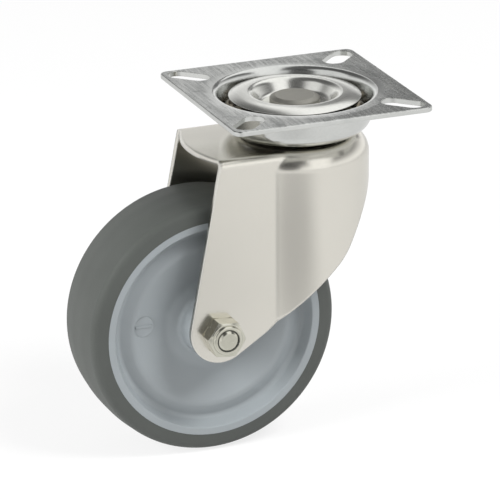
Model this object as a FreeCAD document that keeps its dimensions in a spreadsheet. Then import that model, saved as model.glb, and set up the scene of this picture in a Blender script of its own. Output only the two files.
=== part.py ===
# Swivel castor: a square top plate with a pressed bowl, a pressed steel fork that turns under it
# on two rings of balls, and a wheel with a soft tyre on a bolted axle.
# Millimetres. The origin is where the swivel axis meets the top face of the plate.
# +Z is up, +X is forward, the wheel trails towards -X, and the axle lies along Y with its nut at -Y.

import FreeCAD, Part
import math
import os
import PartDesign
import Sketcher

Vector = FreeCAD.Vector
Rotation = FreeCAD.Rotation
Placement = FreeCAD.Placement

document = FreeCAD.newDocument("swivel_castor")


# Driving dimensions

SIZES = {
    # top plate
    "plate_side": 60.0,
    "plate_corner": 2.5,
    "plate_sheet": 1.5,
    "plate_edge": 0.35,
    "slot_near": 29.6,
    "slot_far": 36.0,
    "slot_width": 6.5,
    # bowl pressed into the plate: a shoulder that dips to the mouth, a leaning outer wall,
    # a channel for the upper balls, a leaning inner wall and a step that the lower balls run under
    "bowl_radius": 27.6,
    "shoulder_radius": 26.9,
    "shoulder_bend": 8.0,
    "shoulder_dip": 0.3,
    "mouth_bend": 1.7,
    "wall_lean": 17.0,
    "inner_wall_lean": 40.0,
    "step_depth": 6.1,
    "plate_hole": 9.0,
    # two rings of balls
    "ball_play": 0.05,
    "upper_ball": 7.0,
    "upper_ring": 16.9,
    "upper_count": 14,
    "lower_ball": 4.4,
    "lower_count": 14,
    # cap over the upper balls: a dome that falls outwards from a flat rim round a dish
    "cap_sheet": 1.6,
    "cap_top_depth": 0.4,
    "cap_dome": 12.3,
    "cap_dome_start": 13.75,
    "cap_edge_angle": 24.5,
    "cap_edge_flat": 0.05,
    "cap_rim_radius": 12.6,
    "cap_rim_bend": 2.1,
    "cap_dish_radius": 10.1,
    "cap_dish_bend": 1.8,
    "cap_dish_depth": 4.1,
    # king pin riveted through the cap and the fork
    "pin_radius": 4.0,
    "pin_head_radius": 7.2,
    "pin_face_radius": 5.7,
    "pin_head_depth": 1.5,
    "pin_head_slope": 0.7,
    "pin_head_edge": 0.5,
    "pin_foot_radius": 5.1,
    "pin_foot_height": 2.1,
    # fork
    "fork_sheet": 1.5,
    "crown_depth": 12.1,
    "crown_radius": 21.1,
    "crown_shoulder": 6.0,
    "boss_radius": 7.2,
    "boss_foot_radius": 8.2,
    "boss_bend": 1.9,
    "boss_foot_bend": 2.2,
    "shelf_depth": 12.8,
    "shelf_reach": 32.8,
    "shelf_bend": 2.0,
    "rear_cut": 2.0,
    "fork_half_width": 17.0,
    "leg_top_depth": 14.3,
    "rear_lean": 10.8,
    "front_lean": 33.0,
    "lobe_radius": 9.2,
    "lobe_up": 0.8,
    "brow_back": 15.0,
    "brow_ahead": 7.7,
    "brow_depth": 44.5,
    "nose_ahead": 22.5,
    "nose_depth": 20.2,
    "front_bend": 25.0,
    # axle
    "axle_back": 29.5,
    "axle_drop": 64.1,
    "bolt_radius": 3.0,
    "bolt_end_chamfer": 0.6,
    "bolt_stickout": 0.5,
    "hex_across": 10.0,
    "hex_face_radius": 4.7,
    "hex_foot_radius": 4.85,
    "head_height": 4.0,
    "nut_turn": 5.0,
    "nut_hex_height": 4.8,
    "nut_height": 5.5,
    "nut_bore": 3.02,
    "nut_collar_radius": 4.5,
    "nut_collar_bend": 0.7,
    "nut_collar_draft": 0.2,
    "nut_lip": 0.35,
    "nut_lip_radius": 3.3,
    "locking_ring_radius": 3.9,
    "locking_ring_height": 1.4,
    "leg_hole": 3.2,
    "sleeve_bore": 3.1,
    "sleeve_radius": 5.0,
    # wheel
    "wheel_radius": 37.5,
    "tread_edge_radius": 36.7,
    "tread_half": 3.5,
    "tyre_half_width": 11.9,
    "tyre_edge_half": 11.3,
    "tyre_shoulder": 2.2,
    "tread_bend": 25.0,
    "tyre_seat_radius": 30.7,
    "tyre_seat_half": 10.2,
    "rim_radius": 32.1,
    "rim_lip_half": 10.8,
    "rim_inside_radius": 30.0,
    "rim_inside_bend": 0.4,
    "trough_radius": 28.3,
    "trough_half": 7.6,
    "trough_bend": 1.4,
    "ridge_radius": 23.6,
    "ridge_half": 9.2,
    "ridge_bend": 3.5,
    "dish_radius": 13.0,
    "dish_half": 6.6,
    "dish_bend": 4.0,
    "hub_foot_radius": 8.8,
    "hub_foot_half": 7.2,
    "hub_foot_bend": 1.5,
    "hub_radius": 8.3,
    "hub_bend": 0.6,
    "hub_side_play": 0.2,
    "hub_bore": 5.05,
    "mark_radius": 3.1,
    "mark_face_half": 8.35,
    "mark_bar": 0.7,
    "mark_bar_height": 0.2,
    "mark_back": 20.3,
    "mark_up": 2.3,
}

sheet = document.addObject("Spreadsheet::Sheet", "Sizes")
for row, (alias, value) in enumerate(SIZES.items(), start=1):
    sheet.set("A%d" % row, alias)
    sheet.set("B%d" % row, str(value))
    sheet.setAlias("B%d" % row, alias)
document.recompute()


class Size:
    """A length or angle held both as a number and as the formula on the sheet that gives it."""

    def __init__(self, number, formula):
        self.number = number
        self.formula = formula

    def joined(self, other, sign, result):
        return Size(result, "(%s %s %s)" % (self.formula, sign, other.formula))

    def __add__(self, other):
        other = as_size(other)
        return self.joined(other, "+", self.number + other.number)

    def __sub__(self, other):
        other = as_size(other)
        return self.joined(other, "-", self.number - other.number)

    def __mul__(self, other):
        other = as_size(other)
        return self.joined(other, "*", self.number * other.number)

    def __truediv__(self, other):
        other = as_size(other)
        return self.joined(other, "/", self.number / other.number)

    def __neg__(self):
        return Size(-self.number, "(-1 * %s)" % self.formula)


def as_size(value):
    if isinstance(value, Size):
        return value
    return Size(float(value), repr(float(value)))


def size(alias):
    return Size(float(SIZES[alias]), "Sizes." + alias)


def sine(angle):
    return Size(math.sin(math.radians(angle.number)), "sin(%s * 1 deg)" % angle.formula)


def cosine(angle):
    return Size(math.cos(math.radians(angle.number)), "cos(%s * 1 deg)" % angle.formula)


def root(value):
    return Size(math.sqrt(value.number), "sqrt(%s)" % value.formula)


def tangent(angle):
    return Size(math.tan(math.radians(angle.number)), "tan(%s * 1 deg)" % angle.formula)


def bind(thing, prop, value):
    thing.setExpression(prop, as_size(value).formula)


# Planes that sketches are drawn on: turned so that the sketch's second axis points up

FRONT = Rotation(Vector(1, 0, 0), 90)
SIDEWAYS = Rotation(Vector(1, 1, 1), 120)


# Sketch helpers

def fix_point(sketch, geometry, end, x, y):
    for kind, value in (("DistanceX", x), ("DistanceY", y)):
        value = as_size(value)
        index = sketch.addConstraint(
            Sketcher.Constraint(kind, -1, 1, geometry, end, value.number))
        bind(sketch, "Constraints[%d]" % index, value)


def corner_arc(before, corner, after, bend):
    """Where a bend of the given radius leaves both sides of a corner, and its middle."""
    back = (before - corner).normalize()
    ahead = (after - corner).normalize()
    half = back.getAngle(ahead) / 2
    start = corner + back * (bend / math.tan(half))
    end = corner + ahead * (bend / math.tan(half))
    centre = corner + (back + ahead).normalize() * (bend / math.sin(half))
    middle = centre + (corner - centre).normalize() * bend
    return start, middle, end


def draw(sketch, corners, closed=True):
    """Draw straight sides between corners (x, y) or (x, y, bend radius), every one bound to the sheet."""
    count = len(corners)
    places = [Vector(as_size(c[0]).number, as_size(c[1]).number, 0) for c in corners]
    bends = [as_size(c[2]) if len(c) > 2 else None for c in corners]
    arcs = []
    for i, bend in enumerate(bends):
        if bend is None:
            arcs.append((places[i], None, places[i]))
        else:
            arcs.append(corner_arc(places[i - 1], places[i], places[(i + 1) % count], bend.number))
    sides = []
    for i in range(count if closed else count - 1):
        line = Part.LineSegment(arcs[i][2], arcs[(i + 1) % count][0])
        sides.append(sketch.addGeometry(line, False))
    for i, corner in enumerate(corners):
        before = sides[i - 1] if closed or i > 0 else None
        after = sides[i] if i < len(sides) else None
        if bends[i] is None:
            if before is not None and after is not None:
                sketch.addConstraint(Sketcher.Constraint("Coincident", before, 2, after, 1))
            if after is not None:
                fix_point(sketch, after, 1, corner[0], corner[1])
            else:
                fix_point(sketch, before, 2, corner[0], corner[1])
            continue
        start, middle, end = arcs[i]
        arc = sketch.addGeometry(Part.Arc(start, middle, end), False)
        first = 1 if sketch.getPoint(arc, 1).distanceToPoint(start) < 1e-6 else 2
        sketch.addConstraint(Sketcher.Constraint("Tangent", before, 2, arc, first))
        sketch.addConstraint(Sketcher.Constraint("Tangent", after, 1, arc, 3 - first))
        index = sketch.addConstraint(Sketcher.Constraint("Radius", arc, bends[i].number))
        bind(sketch, "Constraints[%d]" % index, bends[i])
        sharp = sketch.addGeometry(Part.Point(places[i]), True)
        sketch.addConstraint(Sketcher.Constraint("PointOnObject", sharp, 1, before))
        sketch.addConstraint(Sketcher.Constraint("PointOnObject", sharp, 1, after))
        fix_point(sketch, sharp, 1, corner[0], corner[1])


def draw_circle(sketch, x, y, radius):
    circle = sketch.addGeometry(
        Part.Circle(Vector(as_size(x).number, as_size(y).number, 0), Vector(0, 0, 1), radius.number), False)
    fix_point(sketch, circle, 3, x, y)
    index = sketch.addConstraint(Sketcher.Constraint("Radius", circle, radius.number))
    bind(sketch, "Constraints[%d]" % index, radius)


def draw_slot(sketch, near, far, radius):
    """A round-ended slot along the sketch's first axis, between the centres of its ends."""
    r = radius.number
    left = sketch.addGeometry(
        Part.ArcOfCircle(Part.Circle(Vector(near.number, 0, 0), Vector(0, 0, 1), r),
                         math.pi / 2, 3 * math.pi / 2), False)
    right = sketch.addGeometry(
        Part.ArcOfCircle(Part.Circle(Vector(far.number, 0, 0), Vector(0, 0, 1), r),
                         -math.pi / 2, math.pi / 2), False)
    low = sketch.addGeometry(Part.LineSegment(Vector(near.number, -r, 0), Vector(far.number, -r, 0)), False)
    high = sketch.addGeometry(Part.LineSegment(Vector(far.number, r, 0), Vector(near.number, r, 0)), False)
    for first, first_end, second, second_end in (
            (left, 2, low, 1), (low, 2, right, 1), (right, 2, high, 1), (high, 2, left, 1)):
        sketch.addConstraint(Sketcher.Constraint("Tangent", first, first_end, second, second_end))
    fix_point(sketch, left, 3, near, 0)
    fix_point(sketch, right, 3, far, 0)
    index = sketch.addConstraint(Sketcher.Constraint("Radius", left, r))
    bind(sketch, "Constraints[%d]" % index, radius)


# Body helpers

def new_body(label):
    body = document.addObject("PartDesign::Body", label)
    body.Label = label
    return body


def origin_of(body, role):
    for feature in body.Origin.OriginFeatures:
        if feature.Role == role:
            return feature
    raise ValueError("no origin feature " + role)


def body_sketch(body, name, role="XZ_Plane", offset=None):
    sketch = body.newObject("Sketcher::SketchObject", name)
    sketch.AttachmentSupport = [(origin_of(body, role), "")]
    sketch.MapMode = "FlatFace"
    if offset is not None:
        sketch.AttachmentOffset = offset
    document.recompute()
    return sketch


def revolve(body, name, sketch, role, groove=False):
    kind = "PartDesign::Groove" if groove else "PartDesign::Revolution"
    feature = body.newObject(kind, name)
    feature.Profile = sketch
    feature.ReferenceAxis = (origin_of(body, role), [""])
    feature.Angle = 360
    body.Tip = feature
    document.recompute()
    return feature


def pad(body, name, sketch, length, reverse=False, both=False):
    feature = body.newObject("PartDesign::Pad", name)
    feature.Profile = sketch
    feature.Reversed = reverse
    feature.Midplane = both
    bind(feature, "Length", length)
    body.Tip = feature
    document.recompute()
    return feature


def pocket_through(body, name, sketch):
    before = body.Shape.Volume
    feature = body.newObject("PartDesign::Pocket", name)
    feature.Profile = sketch
    feature.Type = "ThroughAll"
    feature.Midplane = True
    body.Tip = feature
    document.recompute()
    if not feature.Shape.Volume < before - 1e-6:
        raise ValueError(name + " cuts nothing")
    return feature


def edges_where(shape, test):
    return ["Edge%d" % (i + 1) for i, edge in enumerate(shape.Edges) if test(edge)]


def round_edges(body, name, test, radius, chamfer=False):
    base = body.Tip
    feature = body.newObject("PartDesign::Chamfer" if chamfer else "PartDesign::Fillet", name)
    feature.Base = (base, edges_where(base.Shape, test))
    bind(feature, "Size" if chamfer else "Radius", radius)
    body.Tip = feature
    document.recompute()
    return feature


# Pressed sheet helpers: one line drawn along the outer face, thickened inwards, then turned or drawn out

def plane_sketch(name, rotation):
    sketch = document.addObject("Sketcher::SketchObject", name)
    sketch.Placement = Placement(Vector(), rotation)
    return sketch


def sheet_strip(name, corners, rotation, thickness):
    sketch = plane_sketch(name + "_line", rotation)
    draw(sketch, corners, closed=False)
    strip = document.addObject("Part::Offset2D", name + "_strip")
    strip.Source = sketch
    strip.Mode = "Skin"
    strip.Fill = True
    bind(strip, "Value", thickness)
    document.recompute()
    return strip


def turned(name, face):
    solid = document.addObject("Part::Revolution", name)
    solid.Source = face
    solid.Axis = Vector(0, 0, 1)
    solid.Angle = 360
    solid.Solid = True
    document.recompute()
    return solid


def drawn_out(name, profile, direction, length, both=False):
    solid = document.addObject("Part::Extrusion", name)
    solid.Base = profile
    solid.DirMode = "Custom"
    solid.Dir = direction
    solid.Solid = True
    solid.Symmetric = both
    bind(solid, "LengthFwd", length)
    document.recompute()
    return solid


def boolean(kind, label, *shapes):
    feature = document.addObject("Part::" + kind, label)
    if kind in ("MultiFuse", "MultiCommon"):
        feature.Shapes = list(shapes)
    else:
        feature.Base, feature.Tool = shapes
    if kind != "MultiCommon":
        feature.Refine = True
    document.recompute()
    return feature


# Top plate

def slot_cutter(turn):
    """One slot, on the diagonal of the plate at the given turn, drawn out through the sheet."""
    outline = plane_sketch("slot_outline_%d" % turn, Rotation(Vector(0, 0, 1), turn))
    draw_slot(outline, size("slot_near"), size("slot_far"), size("slot_width") / 2)
    return drawn_out("slot_%d" % turn, outline, Vector(0, 0, 1), size("plate_sheet") * 4, both=True)


def make_top_plate():
    half = size("plate_side") / 2
    corner = size("plate_corner")
    blank = new_body("plate_blank")
    square = body_sketch(blank, "plate_square", "XY_Plane")
    draw(square, [(-half, -half, corner), (half, -half, corner), (half, half, corner), (-half, half, corner)])
    pad(blank, "plate_pad", square, size("plate_sheet"), reverse=True)
    round_edges(blank, "plate_edges", lambda edge: abs(edge.BoundBox.ZLength) < 1e-6, size("plate_edge"))
    hole = body_sketch(blank, "bowl_opening", "XY_Plane")
    draw_circle(hole, 0, 0, size("bowl_radius"))
    pocket_through(blank, "bowl_cut", hole)
    bowl = turned("bowl", sheet_strip("bowl", bowl_corners(), FRONT, size("plate_sheet")))
    pressed = boolean("MultiFuse", "pressed_plate", blank, bowl)
    slots = boolean("MultiFuse", "four_slots", *[slot_cutter(turn) for turn in (45, 135, 225, 315)])
    return boolean("Cut", "top_plate", pressed, slots)


def upper_race():
    """Radius of the channel that the upper balls run in."""
    return size("upper_ball") / 2 + size("ball_play")


def upper_depth():
    """The upper balls rise until they meet the inside of the cap's dome."""
    reach = size("cap_dome") - size("cap_sheet") - upper_race()
    aside = size("upper_ring") - size("cap_dome_start")
    return size("cap_top_depth") + size("cap_dome") - root(reach * reach - aside * aside)


def mouth_radius():
    """The bowl's outer wall leans out past the upper balls to this radius at the plate's top."""
    lean = size("wall_lean")
    return size("upper_ring") + upper_depth() * tangent(lean) + upper_race() / cosine(lean)


def inner_wall_radius(depth):
    """Radius of the channel's inner wall, drawn on as a straight line, at a depth."""
    lean = size("inner_wall_lean")
    return size("upper_ring") - upper_race() / cosine(lean) + (depth - upper_depth()) * tangent(lean)


def step_bend():
    return size("lower_ball") / 2 + size("ball_play") + size("plate_sheet")


def lower_ring():
    """The lower balls sit inside the bend of the step."""
    half_turn = (Size(90.0, "90") - size("inner_wall_lean")) / 2
    return inner_wall_radius(size("step_depth")) - step_bend() * tangent(half_turn)


def bowl_corners():
    """The bowl's upper face from its mouth to its hole, as sharp corners and their bends."""
    slopes = tangent(size("wall_lean")) + tangent(size("inner_wall_lean"))
    channel_depth = (mouth_radius() - inner_wall_radius(as_size(0))) / slopes
    step = size("step_depth")
    dip = size("shoulder_dip")
    return [
        (size("bowl_radius"), 0),
        (size("shoulder_radius"), 0, size("shoulder_bend")),
        (mouth_radius() - dip * tangent(size("wall_lean")), -dip, size("mouth_bend")),
        (mouth_radius() - channel_depth * tangent(size("wall_lean")), -channel_depth, upper_race()),
        (inner_wall_radius(step), -step, step_bend()),
        (size("plate_hole"), -step),
    ]


# Cap over the upper balls: its crown is bent round them

def make_bearing_cap():
    top = -size("cap_top_depth")
    edge = size("cap_edge_angle")
    dome = size("cap_dome")
    flat = size("cap_edge_flat")
    strip = sheet_strip("cap", [
        (size("cap_dome_start") + dome * sine(edge) + cosine(edge) * flat,
         top - dome + dome * cosine(edge) - sine(edge) * flat),
        (size("cap_dome_start") + dome * tangent(edge / 2), top, dome),
        (size("cap_rim_radius"), top, size("cap_rim_bend")),
        (size("cap_dish_radius"), -size("cap_dish_depth"), size("cap_dish_bend")),
        (size("pin_radius"), -size("cap_dish_depth")),
    ], FRONT, size("cap_sheet"))
    return turned("bearing_cap", strip)


# King pin: headed above the cap and riveted over under the fork's boss

def boss_top():
    return -(size("cap_dish_depth") + size("cap_sheet"))


def make_king_pin():
    pin = new_body("king_pin")
    outline = body_sketch(pin, "pin_outline")
    foot = boss_top() - size("fork_sheet")
    end = foot - size("pin_foot_height")
    draw(outline, [
        (0, -size("pin_head_depth")),
        (size("pin_face_radius"), -size("pin_head_depth"), size("pin_head_edge")),
        (size("pin_head_radius"), -size("pin_head_depth") - size("pin_head_slope"), size("pin_head_edge")),
        (size("pin_head_radius"), -size("cap_dish_depth")),
        (size("pin_radius"), -size("cap_dish_depth")),
        (size("pin_radius"), foot),
        (size("pin_foot_radius"), foot),
        (size("pin_foot_radius"), end, size("pin_head_edge")),
        (0, end),
    ])
    revolve(pin, "pin_turned", outline, "Z_Axis")
    return pin


# Fork: a round crown turned from one line, and a channel for the two legs, joined and trimmed.
# The blanks reach past everything that is kept, down to the blank depth and back by the channel length.

BLANK_DEPTH = 80.0
CHANNEL_LENGTH = 48.0


def crown_corners():
    crown = -size("crown_depth")
    return [
        (size("crown_radius"), crown, size("crown_shoulder")),
        (size("boss_foot_radius"), crown, size("boss_foot_bend")),
        (size("boss_radius"), boss_top(), size("boss_bend")),
    ]


def leg_outline():
    """The side view of the fork, from the top of its rear edge round the axle to its nose."""
    lobe_x = -size("axle_back")
    lobe_z = -size("axle_drop") + size("lobe_up")
    rear = size("rear_lean")
    front = size("front_lean")
    lobe = size("lobe_radius")
    rear_x = lobe_x - lobe * cosine(rear)
    rear_z = lobe_z + lobe * sine(rear)
    front_x = lobe_x + lobe * sine(front)
    front_z = lobe_z - lobe * cosine(front)
    leg_top = -size("leg_top_depth")
    top_x = rear_x + tangent(rear) * (leg_top - rear_z)
    brow_x = -size("brow_back")
    brow_z = front_z + tangent(front) * (brow_x - front_x)
    return [
        (top_x, 0),
        (top_x, leg_top),
        (rear_x, rear_z),
        (front_x, front_z),
        (brow_x, brow_z, size("front_bend")),
        (size("brow_ahead"), -size("brow_depth"), size("front_bend")),
        (size("nose_ahead"), -size("nose_depth")),
        (size("nose_ahead"), 0),
    ]


def cross_cylinder(name, radius, length, up):
    """A cylinder along Y, above the axle by the given amount."""
    cylinder = document.addObject("Part::Cylinder", name)
    cylinder.Placement = Placement(Vector(), Rotation(Vector(1, 0, 0), 90))
    bind(cylinder, "Radius", radius)
    bind(cylinder, "Height", length)
    bind(cylinder, "Placement.Base.x", -size("axle_back"))
    bind(cylinder, "Placement.Base.y", length / 2)
    bind(cylinder, "Placement.Base.z", up - size("axle_drop"))
    document.recompute()
    return cylinder


def make_fork():
    wide = size("fork_half_width")
    sheet_thickness = size("fork_sheet")
    cup = turned("crown_cup", sheet_strip(
        "crown",
        [(size("crown_radius"), -BLANK_DEPTH)] + crown_corners() + [(size("pin_radius"), boss_top())],
        FRONT, sheet_thickness))
    envelope_line = plane_sketch("envelope_line", FRONT)
    draw(envelope_line, [(0, -BLANK_DEPTH), (size("crown_radius"), -BLANK_DEPTH)] + crown_corners()
         + [(0, boss_top())])
    envelope = turned("crown_envelope", envelope_line)
    shelf = -size("shelf_depth")
    channel = drawn_out("leg_channel", sheet_strip("legs", [
        (-wide, -BLANK_DEPTH),
        (-wide, shelf, size("shelf_bend")),
        (wide, shelf, size("shelf_bend")),
        (wide, -BLANK_DEPTH),
    ], SIDEWAYS, sheet_thickness), Vector(-1, 0, 0), as_size(CHANNEL_LENGTH))
    inside = wide - sheet_thickness
    opening = document.addObject("Part::Box", "rear_opening")
    bind(opening, "Length", size("crown_radius") / 2)
    bind(opening, "Width", inside * 2)
    bind(opening, "Height", BLANK_DEPTH)
    bind(opening, "Placement.Base.x", -size("crown_radius") - size("rear_cut"))
    bind(opening, "Placement.Base.y", -inside)
    bind(opening, "Placement.Base.z", shelf - sheet_thickness - BLANK_DEPTH)
    document.recompute()
    crown = boolean("Cut", "crown_front", cup, opening)
    legs = boolean("Cut", "legs_behind_crown", channel, envelope)
    blank = boolean("MultiFuse", "fork_blank", crown, legs)
    side_line = plane_sketch("side_line", FRONT)
    draw(side_line, leg_outline())
    side = drawn_out("side_trim", side_line, Vector(0, 1, 0), wide * 3, both=True)
    lobe = cross_cylinder("lobe_trim", size("lobe_radius"), wide * 3, size("lobe_up"))
    shelf_trim = document.addObject("Part::Cylinder", "shelf_trim")
    bind(shelf_trim, "Radius", size("shelf_reach"))
    bind(shelf_trim, "Height", size("leg_top_depth"))
    bind(shelf_trim, "Placement.Base.z", -size("leg_top_depth"))
    trim = boolean("MultiFuse", "fork_trim", side, lobe, shelf_trim)
    trimmed = boolean("MultiCommon", "fork_trimmed", blank, trim)
    holes = cross_cylinder("axle_holes", size("leg_hole"), wide * 3, as_size(0))
    return boolean("Cut", "fork", trimmed, holes)


# Axle: a hexagon bolt through the legs and a sleeve, with a self-locking nut

def at_axle(piece):
    bind(piece, "Placement.Base.x", -size("axle_back"))
    bind(piece, "Placement.Base.z", -size("axle_drop"))


def degrees(number):
    return Size(number, repr(number))


def hex_corner():
    return size("hex_across") / cosine(degrees(30.0)) / 2


def hex_prism(body, name, start, height, turn):
    """A hexagonal prism along -Y from the given Y, turned clockwise from one flat up."""
    outline = body_sketch(body, name + "_outline")
    bind(outline, "AttachmentOffset.Base.z", -start)
    directions = [degrees(60.0 * i) - turn for i in range(6)]
    draw(outline, [(hex_corner() * cosine(a), hex_corner() * sine(a)) for a in directions])
    document.recompute()
    return pad(body, name, outline, height)


def chamfer_corners(body, name, face, inward, radius):
    """Turn the corners of a hexagon back at 30 degrees outside a radius of its end face at Y = face."""
    reach = hex_corner() + 1 - radius
    outline = body_sketch(body, name + "_outline", "YZ_Plane")
    draw(outline, [
        (face, radius),
        (face + reach * tangent(degrees(30.0)) * inward, radius + reach),
        (face - inward, radius + reach),
        (face - inward, radius),
    ])
    return revolve(body, name, outline, "Y_Axis", groove=True)


def make_axle_bolt():
    bolt = new_body("axle_bolt")
    wide = size("fork_half_width")
    head_end = wide + size("head_height")
    hex_prism(bolt, "bolt_head", head_end, size("head_height"), degrees(0.0))
    chamfer_corners(bolt, "head_chamfer", head_end, -1, size("hex_face_radius"))
    shank = body_sketch(bolt, "shank_outline")
    bind(shank, "AttachmentOffset.Base.z", -wide)
    draw_circle(shank, 0, 0, size("bolt_radius"))
    pad(bolt, "shank", shank, wide * 2 + size("nut_height") + size("bolt_stickout"))
    tip = -(wide + size("nut_height") + size("bolt_stickout")).number
    round_edges(bolt, "bolt_end", lambda edge: abs(edge.CenterOfMass.y - tip) < 1e-3,
                size("bolt_end_chamfer"), chamfer=True)
    at_axle(bolt)
    return bolt


# The nut's collar is rolled over at its end, round the ring that grips the thread

def make_axle_nut():
    nut = new_body("axle_nut")
    foot = -size("fork_half_width")
    hex_end = foot - size("nut_hex_height")
    end = foot - size("nut_height")
    lip_root = end + size("nut_lip")
    bore = size("nut_bore")
    ring = size("locking_ring_radius")
    hex_prism(nut, "nut_hex", foot, size("nut_hex_height"), size("nut_turn"))
    chamfer_corners(nut, "nut_chamfer", hex_end, 1, size("hex_face_radius"))
    chamfer_corners(nut, "nut_foot_chamfer", foot, -1, size("hex_foot_radius"))
    collar = body_sketch(nut, "collar_outline", "YZ_Plane")
    draw(collar, [
        (hex_end + size("nut_lip"), bore),
        (hex_end + size("nut_lip"), size("nut_collar_radius")),
        (end, size("nut_collar_radius") - size("nut_collar_draft"), size("nut_collar_bend")),
        (end, size("nut_lip_radius")),
        (lip_root, ring),
        (lip_root, bore),
    ])
    revolve(nut, "collar", collar, "Y_Axis")
    bore_line = body_sketch(nut, "nut_bore_outline", "YZ_Plane")
    seat = lip_root + size("locking_ring_height")
    draw(bore_line, [
        (end - 1, 0),
        (foot + 1, 0),
        (foot + 1, bore),
        (seat, bore),
        (seat, ring),
        (lip_root, ring),
        (end, size("nut_lip_radius")),
        (end - 1, size("nut_lip_radius")),
    ])
    revolve(nut, "nut_hole", bore_line, "Y_Axis", groove=True)
    at_axle(nut)
    return nut


def make_locking_ring():
    ring = new_body("nut_locking_ring")
    end = size("nut_lip") - size("fork_half_width") - size("nut_height")
    seat = end + size("locking_ring_height")
    outline = body_sketch(ring, "ring_outline", "YZ_Plane")
    draw(outline, [
        (end, size("nut_bore")),
        (end, size("locking_ring_radius")),
        (seat, size("locking_ring_radius")),
        (seat, size("nut_bore")),
    ])
    revolve(ring, "ring_turned", outline, "Y_Axis")
    at_axle(ring)
    return ring


def make_axle_sleeve():
    sleeve = new_body("axle_sleeve")
    outline = body_sketch(sleeve, "sleeve_outline")
    draw_circle(outline, 0, 0, size("sleeve_radius"))
    draw_circle(outline, 0, 0, size("sleeve_bore"))
    pad(sleeve, "sleeve_tube", outline, (size("fork_half_width") - size("fork_sheet")) * 2, both=True)
    at_axle(sleeve)
    return sleeve


# Wheel: a moulded centre that runs on the sleeve, and the tyre on its rim

def mirrored(corners):
    """Corners (half width, radius) on one side, then the same on the other side."""
    return corners + [(-c[0],) + tuple(c[1:]) for c in reversed(corners)]


def rim_seat():
    return [
        (size("tyre_half_width"), size("rim_radius")),
        (size("rim_lip_half"), size("rim_radius")),
        (size("tyre_seat_half"), size("tyre_seat_radius")),
    ]


def make_tyre():
    tyre = new_body("tyre")
    outline = body_sketch(tyre, "tyre_outline", "YZ_Plane")
    outside = [
        (size("tread_half"), size("wheel_radius"), size("tread_bend")),
        (size("tyre_edge_half"), size("tread_edge_radius"), size("tyre_shoulder")),
    ]
    draw(outline, mirrored(outside + rim_seat()))
    revolve(tyre, "tyre_turned", outline, "Y_Axis")
    at_axle(tyre)
    return tyre


def make_wheel_centre():
    centre = new_body("wheel_centre")
    outline = body_sketch(centre, "centre_outline", "YZ_Plane")
    hub_half = size("fork_half_width") - size("fork_sheet") - size("hub_side_play")
    side = list(reversed(rim_seat())) + [
        (size("tyre_half_width"), size("rim_inside_radius"), size("rim_inside_bend")),
        (size("trough_half"), size("trough_radius"), size("trough_bend")),
        (size("ridge_half"), size("ridge_radius"), size("ridge_bend")),
        (size("dish_half"), size("dish_radius"), size("dish_bend")),
        (size("hub_foot_half"), size("hub_foot_radius"), size("hub_foot_bend")),
        (hub_half, size("hub_radius"), size("hub_bend")),
        (hub_half, size("hub_bore")),
    ]
    draw(outline, mirrored(side))
    revolve(centre, "centre_turned", outline, "Y_Axis")
    mould_mark(centre)
    at_axle(centre)
    return centre


# The mould's round insert leaves a flat, level mark on the sloping disc, with a bar across it

def mould_mark(centre):
    spot = (-size("mark_back"), size("mark_up"))
    flat = body_sketch(centre, "mark_outline")
    bind(flat, "AttachmentOffset.Base.z", size("dish_half"))
    draw_circle(flat, spot[0], spot[1], size("mark_radius"))
    pad(centre, "mark_flat", flat, size("mark_face_half") - size("dish_half"))
    clear = body_sketch(centre, "mark_clear_outline")
    bind(clear, "AttachmentOffset.Base.z", size("mark_face_half"))
    draw_circle(clear, spot[0], spot[1], size("mark_radius"))
    before = centre.Shape.Volume
    cut = centre.newObject("PartDesign::Pocket", "mark_clear")
    cut.Profile = clear
    cut.Reversed = True
    bind(cut, "Length", size("tyre_half_width") - size("mark_face_half"))
    centre.Tip = cut
    document.recompute()
    if not centre.Shape.Volume < before:
        raise ValueError("the mark isn't cleared")
    bar = body_sketch(centre, "mark_bar_outline")
    bind(bar, "AttachmentOffset.Base.z", size("dish_half"))
    half = size("mark_bar") / 2
    reach = size("mark_radius") - size("mark_bar")
    draw(bar, [
        (spot[0] - reach, spot[1] - half),
        (spot[0] + reach, spot[1] - half),
        (spot[0] + reach, spot[1] + half),
        (spot[0] - reach, spot[1] + half),
    ])
    pad(centre, "mark_bar", bar, size("mark_face_half") - size("dish_half") + size("mark_bar_height"))


# Balls

def make_balls(row, count, diameter, ring, depth):
    balls = []
    for i in range(count):
        ball = document.addObject("Part::Sphere", "%s_ball_%02d" % (row, i + 1))
        ball.Label = "%s_ball_%02d" % (row, i + 1)
        turn = Size(360.0 * i / count, repr(360.0 * i / count))
        bind(ball, "Radius", diameter / 2)
        bind(ball, "Placement.Base.x", ring * cosine(turn))
        bind(ball, "Placement.Base.y", ring * sine(turn))
        bind(ball, "Placement.Base.z", -depth)
        balls.append(ball)
    document.recompute()
    return balls


lower_depth = size("crown_depth") - size("ball_play") - size("lower_ball") / 2
nodes = [
    make_top_plate(),
    make_bearing_cap(),
    make_king_pin(),
    make_fork(),
    make_axle_bolt(),
    make_axle_nut(),
    make_locking_ring(),
    make_axle_sleeve(),
    make_wheel_centre(),
    make_tyre(),
]
nodes += make_balls("upper", SIZES["upper_count"], size("upper_ball"), size("upper_ring"), upper_depth())
nodes += make_balls("lower", SIZES["lower_count"], size("lower_ball"), lower_ring(), lower_depth)
print("upper balls at depth %.2f, lower ring %.2f, mouth %.2f"
      % (upper_depth().number, lower_ring().number, mouth_radius().number))


# Check every object, then write each piece

document.recompute()
for thing in document.Objects:
    if "Invalid" in thing.State or "Error" in thing.State:
        raise ValueError(thing.Name + " did not build")
for node in nodes:
    if node.Shape.isNull() or not node.Shape.isValid():
        raise ValueError(node.Label + " has no valid shape")

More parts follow.
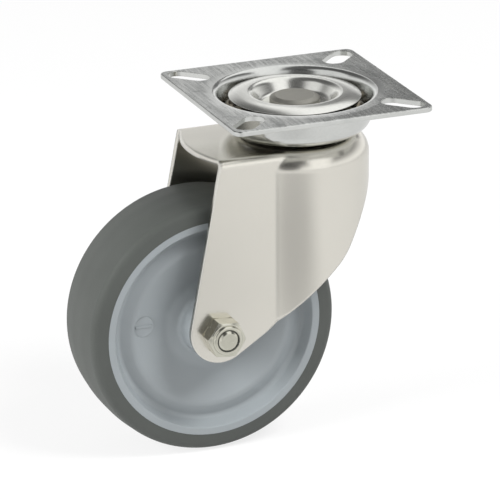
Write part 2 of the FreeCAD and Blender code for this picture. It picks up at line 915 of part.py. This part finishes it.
os.makedirs("parts", exist_ok=True)
for node in nodes:
    node.Shape.exportStep("parts/%s.step" % node.Label)
    print("%-18s solids %d  volume %9.1f" % (node.Label, len(node.Shape.Solids), node.Shape.Volume))
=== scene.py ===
# %% [markdown]
# # A swivel castor in pressed steel
# The castor hangs from a square plate. A fork turns under the plate on two rings of balls, and a
# grey wheel with a soft tyre trails behind the swivel. The construction comes in as a fixed frame,
# and this lesson gives it its finishes: bright pressed sheet, a dull riveted pin, moulded plastic
# and rubber. Everything is in metres, +Z is up and the wheel trails towards -X.

# %% Load the frame
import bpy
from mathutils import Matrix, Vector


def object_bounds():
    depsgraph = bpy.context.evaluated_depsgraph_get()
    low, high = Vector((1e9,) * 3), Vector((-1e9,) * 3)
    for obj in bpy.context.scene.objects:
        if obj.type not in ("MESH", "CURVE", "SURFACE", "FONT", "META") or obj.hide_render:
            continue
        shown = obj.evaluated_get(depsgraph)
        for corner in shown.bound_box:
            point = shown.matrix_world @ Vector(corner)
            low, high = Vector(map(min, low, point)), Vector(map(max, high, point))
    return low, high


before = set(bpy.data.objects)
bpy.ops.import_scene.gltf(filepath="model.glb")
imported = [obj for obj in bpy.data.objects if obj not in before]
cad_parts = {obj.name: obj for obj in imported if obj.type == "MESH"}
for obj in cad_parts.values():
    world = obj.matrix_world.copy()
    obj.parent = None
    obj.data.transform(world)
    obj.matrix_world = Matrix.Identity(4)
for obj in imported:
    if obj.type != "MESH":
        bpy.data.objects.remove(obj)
cad_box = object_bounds()

# %% Tools of the lesson
import math

import bpy
from mathutils import Matrix, Vector

MM = 0.001
bpy.ops.object.select_all(action="DESELECT")
print("castor box in mm:", [[round(c / MM, 1) for c in corner] for corner in cad_box])

# %% [markdown]
# ## The camera
# The photograph was taken with a long lens from the nut's side, a little above the plate, so the
# edges of the plate stay almost parallel. The camera is set by the direction that it looks in, its
# distance, a slight roll and the point of the castor at the middle of the picture.

# %% Camera
AZIMUTH = math.radians(-21.91)
ELEVATION = math.radians(20.04)
ROLL = math.radians(-0.27)
DISTANCE = 1.2036
MIDDLE = Vector((-13.9, 0.0, -46.53)) * MM
SENSOR = 36.0
FOCAL_PIXELS = 4210.4
PHOTO_PIXELS = 500

look = Vector((
    -math.sin(AZIMUTH) * math.cos(ELEVATION),
    math.cos(AZIMUTH) * math.cos(ELEVATION),
    -math.sin(ELEVATION),
))
side = look.cross(Vector((0, 0, 1))).normalized()
upward = side.cross(look)
rolled_side = side * math.cos(ROLL) + upward * math.sin(ROLL)
rolled_up = upward * math.cos(ROLL) - side * math.sin(ROLL)
camera = bpy.data.objects.new("camera", bpy.data.cameras.new("camera"))
bpy.context.scene.collection.objects.link(camera)
camera.data.sensor_width = SENSOR
camera.data.lens = FOCAL_PIXELS / PHOTO_PIXELS * SENSOR
camera.data.clip_end = 20.0
camera.matrix_world = Matrix.Translation(MIDDLE - look * DISTANCE) @ Matrix(
    (rolled_side, rolled_up, -look)).transposed().to_4x4()
bpy.context.scene.camera = camera
print("lens %.1f mm at %.2f m" % (camera.data.lens, DISTANCE))

# %% [markdown]
# ## Writing finishes as sums
# A finish is a net of shader nodes. Wired by hand it is hard to read, so a wire is wrapped in a
# small class whose + - * and abs() add the Math nodes. `1 - mask` and `0.3 + grain * 0.1` then
# read as they would on paper. Any other node comes from one method that takes its type, its
# settings and what goes into its sockets. The world's light is such a net too, so the net comes
# first, and a material is a net with a few more words.

# %% Wires and nets
class Wire:
    """One output of a node. Sums written with it add Math nodes."""

    def __init__(self, net, socket):
        self.net = net
        self.socket = socket

    def __add__(self, other):
        return self.net.sum("ADD", self, other)

    def __sub__(self, other):
        return self.net.sum("SUBTRACT", self, other)

    def __rsub__(self, other):
        return self.net.sum("SUBTRACT", other, self)

    def __mul__(self, other):
        return self.net.sum("MULTIPLY", self, other)

    def __abs__(self):
        return self.net.sum("ABSOLUTE", self, 0.0)

    __radd__ = __add__
    __rmul__ = __mul__


class Net:
    """The nodes of a material or of the world while they are being written."""

    def __init__(self, owner):
        owner.use_nodes = True
        self.tree = owner.node_tree
        self.tree.nodes.clear()

    def node(self, kind, settings=None, inputs=None, out=0):
        """Add a node with its settings, then what goes into its sockets, and give one output."""
        made = self.tree.nodes.new(kind)
        for name, value in (settings or {}).items():
            setattr(made, name, value)
        for name, value in (inputs or {}).items():
            if isinstance(value, Wire):
                self.tree.links.new(value.socket, made.inputs[name])
            else:
                made.inputs[name].default_value = value
        return Wire(self, made.outputs[out]) if made.outputs else made

    def sum(self, operation, first, second):
        return self.node("ShaderNodeMath", {"operation": operation}, {0: first, 1: second})

    def along(self, place, axis):
        """The part of a place or direction along one axis: 0 for X, 1 for Y, 2 for Z."""
        return self.node("ShaderNodeSeparateXYZ", None, {0: place}, out=axis)

    def between(self, value, low, high, to_low=0.0, to_high=1.0):
        """The value's run from low to high, laid over another run and held at its ends."""
        return self.node("ShaderNodeMapRange", {"interpolation_type": "SMOOTHSTEP"}, {
            "Value": value, "From Min": low, "From Max": high, "To Min": to_low, "To Max": to_high})

    def vector_sum(self, operation, first, second):
        """A number worked out from two places or directions."""
        return self.node("ShaderNodeVectorMath", {"operation": operation},
                         {0: first, 1: second}, out="Value")

    def blend(self, share, first, second):
        """One colour that turns into another as the share goes from 0 to 1."""
        return self.node("ShaderNodeMix", {"data_type": "RGBA"}, {0: share, 6: first, 7: second}, out=2)

    def mixed(self, share, first, second):
        """One shader that turns into another as the share goes from 0 to 1."""
        return self.node("ShaderNodeMixShader", None, {0: share, 1: first, 2: second})

    def ray(self, kind):
        """1 for the rays of this kind, such as the camera's own, and 0 for all others."""
        return self.node("ShaderNodeLightPath", out="Is %s Ray" % kind)


def grey(shade):
    """A neutral colour, given as the share of light that it sends back."""
    return (shade, shade, shade, 1.0)


def linear(red, green, blue):
    """A colour given as screen values from 0 to 255."""
    values = [c / 255 for c in (red, green, blue)]
    return tuple(c / 12.92 if c <= 0.04045 else ((c + 0.055) / 1.055) ** 2.4 for c in values) + (1.0,)

# %% [markdown]
# ## What all finishes share
# Every finish of the castor is made of the same few things: smooth noise of some size in
# millimetres, a bump of some height, and edges that catch more light because they are a little
# rounded. The pieces have sharp edges, so a Bevel node leans the normals over as if the edges were
# round. How far it leans them also says where an edge is, which serves for wear.

# %% Finishes
class Finish(Net):
    """A material in the castor's own coordinates."""

    def __init__(self, name):
        self.material = bpy.data.materials.new(name)
        super().__init__(self.material)
        self.here = self.node("ShaderNodeTexCoord", out="Object")

    def stretched(self, stretch, turn=0.0):
        """The castor's coordinates, stretched along some axes and turned about Z."""
        return self.node("ShaderNodeMapping", None,
                         {"Vector": self.here, "Scale": stretch, "Rotation": (0.0, 0.0, turn)})

    def noise(self, size_mm, detail=3.0, roughness=0.5, where=None):
        """Smooth random blotches of about the given size, from 0 to 1."""
        return self.node("ShaderNodeTexNoise", None, {
            "Vector": where or self.here,
            "Scale": 1.0 / (size_mm * MM),
            "Detail": detail,
            "Roughness": roughness,
        })

    def raised(self, height, size_mm, normal):
        """Bump whose full height is the given size."""
        return self.node("ShaderNodeBump", None,
                         {"Height": height, "Distance": size_mm * MM, "Strength": 1.0, "Normal": normal})

    def rounded(self, radius_mm):
        """Normals as if every sharp edge were rounded off."""
        return self.node("ShaderNodeBevel", {"samples": 6}, {"Radius": radius_mm * MM})

    def edges(self, rounded):
        """How far the rounded normal leans from the true one: 0 on faces, up to 1 on edges."""
        true = self.node("ShaderNodeNewGeometry", out="Normal")
        return self.between(1 - self.vector_sum("DOT_PRODUCT", rounded, true), 0.01, 0.2)

    def matt(self, colour):
        """A surface that sends light back evenly, with no gloss."""
        return self.node("ShaderNodeBsdfDiffuse", None, {"Color": colour})

    def close(self, shader):
        """Join the last shader to the material's output."""
        self.node("ShaderNodeOutputMaterial", None, {"Surface": shader})
        print("finish", self.material.name, "has", len(self.tree.nodes), "nodes")
        return self.material

    def done(self, plain, varying):
        """Close with a Principled shader: plain values are set on its sockets, varying ones wired."""
        return self.close(self.node("ShaderNodeBsdfPrincipled", None, {**plain, **varying}))


def dress(node, material):
    """Put a finish on a CAD node."""
    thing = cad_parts[node]
    thing.data.materials.clear()
    thing.data.materials.append(material)

# %% [markdown]
# ## Pressed sheet
# The fork, the plate and the cap are pressed from bright sheet steel. It is never a mirror: it has
# a faint cloud from the rolling of the sheet, fine lines along the direction of rolling, and a slight
# orange-peel grain. Sheared edges are nicked, and they catch more light. A metal takes its look from
# what it reflects, so most of the work is in its roughness and in very low bumps, and its colour
# changes only slightly.
#
# The plate is handled most, so its flat is scuffed and dull. Its bowl was drawn by the press, which
# stretched those marks away, so they fade below the plate's top face. The bowl is also lighter than
# the flat, partly as cleaner drawn steel and partly as a painted reflection of the bright studio
# that its wall shows. The fork's tightest bends, where a leg meets the crown and the shelf, are
# rounder than its sheared edges.

# %% Pressed sheet
EDGE_LIGHT = linear(240, 239, 234)
SHEET_BUMP_MM = 0.012
DRAWN_OVER_MM = 0.25
MARKS_LEFT = 0.12
CREASE_MORE_MM = 0.65


def bend_radius(finish, edge_mm, creases):
    """The edges' radius, which grows near two creases. Each is an axis and a place on it in mm."""
    away = [abs(finish.along(finish.here, axis) - place * MM) for axis, place in creases]
    nearest = finish.sum("MINIMUM", *away)
    return edge_mm + finish.between(nearest, 1.0 * MM, 3.5 * MM, CREASE_MORE_MM, 0.0)


def pressed_sheet(name, colour, dull, gloss, rolled, scuffs, edge_mm=0.25, flat_from=None, creases=None):
    """Sheet steel, rolled along Y and scuffed in short strokes, each from 0 to 1.

    Below the height flat_from, in mm, the sheet was drawn: it is cleaner and glossier there, and its
    lighter tone there is partly painted reflection."""
    finish = Finish(name)
    if flat_from is not None:
        flat = finish.between(finish.along(finish.here, 2),
                              (flat_from - DRAWN_OVER_MM) * MM, flat_from * MM, MARKS_LEFT, 1.0)
        rolled, scuffs = flat * rolled, flat * scuffs
    if creases is not None:
        edge_mm = bend_radius(finish, edge_mm, creases)
    cloud = finish.noise(16.0, 3.0)
    grain = finish.noise(0.35, 2.0)
    rolling = finish.noise(0.7, 4.0, 0.6, finish.stretched((1.0, 0.04, 1.0)))
    slanting = finish.noise(0.5, 4.0, 0.7, finish.stretched((1.0, 0.12, 1.0), 0.5))
    strokes = finish.between(slanting, 0.54, 0.7) * scuffs
    rubbed = finish.between(finish.noise(5.0, 6.0, 0.7), 0.5, 0.66) * scuffs
    rounded = finish.rounded(edge_mm)
    edge = finish.edges(rounded)
    nicks = finish.noise(0.9, 3.0, 0.7) * edge
    worn = cloud * 0.35 + finish.between(rolling, 0.35, 0.65) * rolled + strokes * 0.45 + rubbed * 0.35
    roughness = gloss + grain * 0.03 + rolling * rolled * 0.06 + strokes * 0.1 + rubbed * 0.08 - edge * 0.05
    if flat_from is not None:
        # The flat is set darker than the bowl; the bowl's lighter tone is partly painted reflection.
        worn = worn + flat * 0.25
        roughness = roughness - (1 - flat) * 0.1
    base = finish.blend(edge * 0.6, finish.blend(worn, colour, dull), EDGE_LIGHT)
    height = grain * 0.4 + rolling * rolled + strokes * 0.6 + nicks * 2.5
    return finish.done(
        {"Metallic": 1.0},
        {"Base Color": base,
         "Roughness": roughness,
         "Normal": finish.raised(height, SHEET_BUMP_MM, rounded)})

# %% Fork, plate and cap
LEG_MEETS_CROWN_MM = (0, -13.3)
LEG_MEETS_SHELF_MM = (2, -14.3)
PLATE_FLAT_FROM_MM = -0.03

dress("fork", pressed_sheet(
    "fork_steel", linear(228, 225, 216), linear(216, 213, 204),
    gloss=0.19, rolled=0.15, scuffs=0.1, edge_mm=0.8, creases=(LEG_MEETS_CROWN_MM, LEG_MEETS_SHELF_MM)))
dress("top_plate", pressed_sheet(
    "plate_steel", linear(226, 227, 224), linear(136, 138, 136),
    gloss=0.24, rolled=0.4, scuffs=0.8, flat_from=PLATE_FLAT_FROM_MM))
dress("bearing_cap", pressed_sheet(
    "cap_steel", linear(232, 232, 227), linear(214, 214, 209),
    gloss=0.20, rolled=0.2, scuffs=0.2))

# %% [markdown]
# ## The riveted pin
# The pin's head was struck by the riveting tool, so it is duller than the sheet and pitted all
# over. It gets a rough metal with pits cut by a cell pattern.

# %% Struck steel of the pin
PIT_MM = 0.5


def struck_steel():
    finish = Finish("struck_steel")
    pits = finish.node("ShaderNodeTexVoronoi", None,
                       {"Vector": finish.here, "Scale": 1.0 / (PIT_MM * MM), "Randomness": 1.0})
    hollow = finish.between(pits, 0.1, 0.5)
    cloud = finish.noise(2.0, 5.0, 0.6)
    return finish.done(
        {"Metallic": 1.0},
        {"Base Color": finish.blend(cloud, linear(158, 156, 148), linear(182, 180, 172)),
         "Roughness": 0.38 + cloud * 0.2,
         "Normal": finish.raised(hollow * 0.5 + cloud * 0.7, 0.06, finish.rounded(0.2))})


dress("king_pin", struck_steel())

# %% [markdown]
# ## Nut, bolt and sleeve
# Small turned and cold-headed pieces are plated in a barrel, which leaves them brighter on their
# corners than on their flats, with tiny knocks. The finish is the sheet's, finer and glossier.

# %% Barrel plating
def barrel_plating():
    finish = Finish("barrel_plating")
    knocks = finish.between(finish.noise(0.7, 3.0, 0.6), 0.55, 0.75)
    cloud = finish.noise(3.0, 3.0)
    rounded = finish.rounded(0.18)
    base = finish.blend(cloud, linear(216, 214, 201), linear(192, 191, 177))
    base = finish.blend(finish.edges(rounded) * 0.6, base, linear(238, 237, 230))
    return finish.done(
        {"Metallic": 1.0},
        {"Base Color": base,
         "Roughness": 0.13 + cloud * 0.08 + knocks * 0.12,
         "Normal": finish.raised(knocks * 0.6 + cloud * 0.3, 0.03, rounded)})


fastener_steel = barrel_plating()
for node in ("axle_bolt", "axle_nut", "axle_sleeve"):
    dress(node, fastener_steel)

# %% [markdown]
# ## Bearing balls
# The balls are hardened, ground steel, close to a mirror, with a film of grease that browns them
# slightly. They only show through the gap between the plate and the cap, which lies in shade, and
# their colours are set darker than greased steel as painted shade of that gap. They have no sharp
# edges, so the film's bump starts from their true normals.

# %% Greased balls, darkened with painted shade
def greased_balls_painted_shade():
    finish = Finish("greased_balls_painted_shade")
    film = finish.noise(2.5, 3.0)
    true = finish.node("ShaderNodeNewGeometry", out="Normal")
    return finish.done(
        {"Metallic": 1.0},
        # Both colours are partly the grease's brown and partly painted shade of the gap under the cap.
        {"Base Color": finish.blend(film, linear(150, 144, 132), linear(96, 88, 74)),
         "Roughness": 0.08 + finish.between(film, 0.35, 0.75) * 0.25,
         "Normal": finish.raised(film, 0.01, true)})


ball_steel = greased_balls_painted_shade()
balls = [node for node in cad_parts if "_ball_" in node]
for node in balls:
    dress(node, ball_steel)
print("balls:", len(balls))

# %% [markdown]
# ## Moulded parts
# The wheel's centre is a stiff grey plastic with a satin skin from the mould, and the tyre is a soft
# grey rubber moulded round it. Both are dielectric: their colour is their own, and the gloss on top
# is grey. Plastic gets a very fine even grain and faint flow clouds, rubber a coarser, duller one.
# The nut's locking ring is nylon, which is the plastic again with a finer grain.

# %% Plastic, rubber and nylon
DUST_BRIGHTER = 1.35


def moulded(name, light, dark, gloss, grain_mm, depth_mm, edge_mm, specular):
    """A moulded skin with flow clouds between two colours, a grain, and dust on its edges."""
    finish = Finish(name)
    cloud = finish.noise(18.0, 3.0)
    grain = finish.noise(grain_mm, 2.0)
    dust = finish.between(finish.noise(1.6, 4.0, 0.7), 0.6, 0.8)
    rounded = finish.rounded(edge_mm)
    dusty = tuple(c * DUST_BRIGHTER for c in light[:3]) + (1.0,)
    base = finish.blend(dust * 0.12 + finish.edges(rounded) * 0.2, finish.blend(cloud, light, dark), dusty)
    return finish.done(
        {"Metallic": 0.0, "Specular IOR Level": specular},
        {"Base Color": base,
         "Roughness": gloss + cloud * 0.06 + grain * 0.05 + dust * 0.05,
         "Normal": finish.raised(grain, depth_mm, rounded)})


dress("wheel_centre", moulded(
    "wheel_plastic", linear(151, 157, 160), linear(144, 150, 153),
    gloss=0.38, grain_mm=0.4, depth_mm=0.01, edge_mm=0.25, specular=0.5))
dress("tyre", moulded(
    "tyre_rubber", linear(82, 85, 82), linear(73, 76, 73),
    gloss=0.5, grain_mm=0.5, depth_mm=0.02, edge_mm=0.3, specular=0.45))
dress("nut_locking_ring", moulded(
    "locking_nylon", linear(120, 122, 118), linear(105, 107, 103),
    gloss=0.4, grain_mm=0.3, depth_mm=0.01, edge_mm=0.1, specular=0.5))

# %% [markdown]
# ## The floor
# The castor stands on a plain pale floor against white. The floor is matt, and for the camera's own
# rays most of it is white light of strength 1. What is left of the matt paint keeps the castor's
# shadow. For rays that come off the steel it is a little darker, with a dark patch of painted shade
# in front of the castor that stands for the dark side of the studio, where the camera is.

# %% Floor
FLOOR_HALF = 3.0
DARK_PATCH = (-0.085, -0.20, 0.0)
PATCH_INSIDE = 0.05
PATCH_OUTSIDE = 0.16
WHITE_SHARE = 0.8
MIRRORED_SHARE = 0.65

floor_z = cad_box[0].z
bpy.ops.mesh.primitive_plane_add(size=FLOOR_HALF * 2, location=(0, 0, floor_z))
floor = bpy.context.object
floor.name = "floor"


def pale_floor():
    finish = Finish("pale_floor")
    seen = finish.ray("Camera")
    mirrored = finish.ray("Glossy")
    paint = finish.blend(finish.noise(400.0, 2.0), grey(0.78), grey(0.82))
    paint = finish.blend(seen, paint, grey(1.0))
    white = finish.node("ShaderNodeEmission", None, {"Color": grey(1.0), "Strength": 1.0})
    pale = finish.node("ShaderNodeEmission", None, {"Color": grey(0.8), "Strength": 1.0})
    # A dark patch of painted shade, seen only by rays off the steel, for the studio's dark side.
    away = finish.vector_sum("DISTANCE", finish.here, DARK_PATCH)
    dark = finish.between(away, PATCH_INSIDE, PATCH_OUTSIDE, 0.42, 0.0) * mirrored
    ground = finish.mixed(mirrored * MIRRORED_SHARE, finish.matt(paint), pale)
    ground = finish.mixed(dark, ground, finish.matt(grey(0.02)))
    return finish.close(finish.mixed(seen * WHITE_SHARE, ground, white))


floor.data.materials.append(pale_floor())
print("floor at z = %.1f mm" % (floor_z / MM))

# %% [markdown]
# ## A dark card
# Steel shows its shape by what it reflects. In a studio a dark card stands behind a bright piece, so
# that its far corner isn't as white as the background. This one shows only in the steel.

# %% Dark card
CARD_LOW = Vector((0.112, 0.25, 0.075))
CARD_HIGH = Vector((0.32, 0.25, 0.20))

bpy.ops.mesh.primitive_plane_add(size=1.0)
card = bpy.context.object
card.name = "card_behind"
for vertex in card.data.vertices:
    vertex.co = (
        CARD_LOW.x if vertex.co.x < 0 else CARD_HIGH.x,
        CARD_LOW.y,
        CARD_LOW.z if vertex.co.y < 0 else CARD_HIGH.z,
    )
card.visible_camera = False
card.visible_diffuse = False
card.visible_transmission = False
card.visible_shadow = False
cloth = Finish("card_cloth")
weave = cloth.blend(cloth.noise(3.0, 2.0), grey(0.10), grey(0.14))
card.data.materials.append(cloth.close(cloth.matt(weave)))

# %% [markdown]
# ## The studio
# The camera sees a white world of strength 1. Plain light of a low level fills the shadows. What the
# steel reflects is a studio of its own, since steel with nothing to reflect looks like grey paint: a
# pale backdrop that darkens upwards, a long strip light overhead on the right, a window on the left
# and a dark side where the camera stands.

# %% World
FILL_LEVEL = 0.30
KEY = Vector((0.42, -0.48, 0.77)).normalized()
DARK_SIDE = Vector((-0.52, -0.80, 0.28)).normalized()
WINDOW = Vector((-0.92, -0.15, 0.35)).normalized()
STRIP_ACROSS = Vector((1.0, -0.12, 0.0))
STRIP_ABOVE = Vector((0.0, -0.5, 1.0))

world = bpy.data.worlds.new("studio")
bpy.context.scene.world = world
sky = Net(world)
direction = sky.node("ShaderNodeTexCoord", out="Generated")


def towards(aim, low, high, to_low, to_high):
    """A level that goes from to_low to to_high as the direction nears the aim."""
    return sky.between(sky.vector_sum("DOT_PRODUCT", direction, aim), low, high, to_low, to_high)


def sky_light(level):
    """White light of one level from everywhere, or of a level that changes with the direction."""
    return sky.node("ShaderNodeBackground", None, {"Color": grey(1.0), "Strength": level})


backdrop = sky.between(sky.along(direction, 2), 0.10, 0.65, 1.05, 0.13)
strip = towards(STRIP_ACROSS, 0.0, 0.16, 0.0, 1.15) * towards(STRIP_ACROSS, 0.60, 0.75, 1.0, 0.0)
strip = strip * towards(STRIP_ABOVE, -0.06, 0.06, 0.0, 1.0)
window = towards(WINDOW, 0.75, 0.92, 0.0, 0.9)
shade = towards(DARK_SIDE, 0.92, 0.97, 1.0, 0.18)
studio = sky.sum("MAXIMUM", backdrop, sky.sum("MAXIMUM", strip, window)) * shade
background = sky.mixed(sky.ray("Glossy"), sky_light(FILL_LEVEL), sky_light(studio))
background = sky.mixed(sky.ray("Camera"), background, sky_light(1.0))
sky.node("ShaderNodeOutputWorld", None, {"Surface": background})
print("studio has", len(sky.tree.nodes), "nodes")

# %% [markdown]
# ## Lamps
# Two soft lamps give the matt pieces their shape, from where the strip light and the window are. They
# don't show in the steel, because the world already has both.

# %% Lamps
LAMP_DISTANCE = 1.2


def soft_lamp(name, way, size, watts):
    """A square area lamp that stands some way off and is aimed at the middle of the castor."""
    lamp = bpy.data.objects.new(name, bpy.data.lights.new(name, "AREA"))
    bpy.context.scene.collection.objects.link(lamp)
    lamp.data.size = size
    lamp.data.energy = watts
    lamp.visible_glossy = False
    place = way * LAMP_DISTANCE
    turn = (place - MIDDLE).to_track_quat("Z", "Y").to_matrix().to_4x4()
    lamp.matrix_world = Matrix.Translation(place) @ turn
    print("lamp %s: %.1f m across, %.0f W" % (name, size, watts))


soft_lamp("key", KEY, 0.5, 13.0)
soft_lamp("window", WINDOW, 0.7, 15.0)

# %% [markdown]
# ## Colours as written
# The Standard view shows a colour as it is written.

# %% Colour management
bpy.context.scene.view_settings.view_transform = "Standard"
print("view:", bpy.context.scene.view_settings.view_transform)
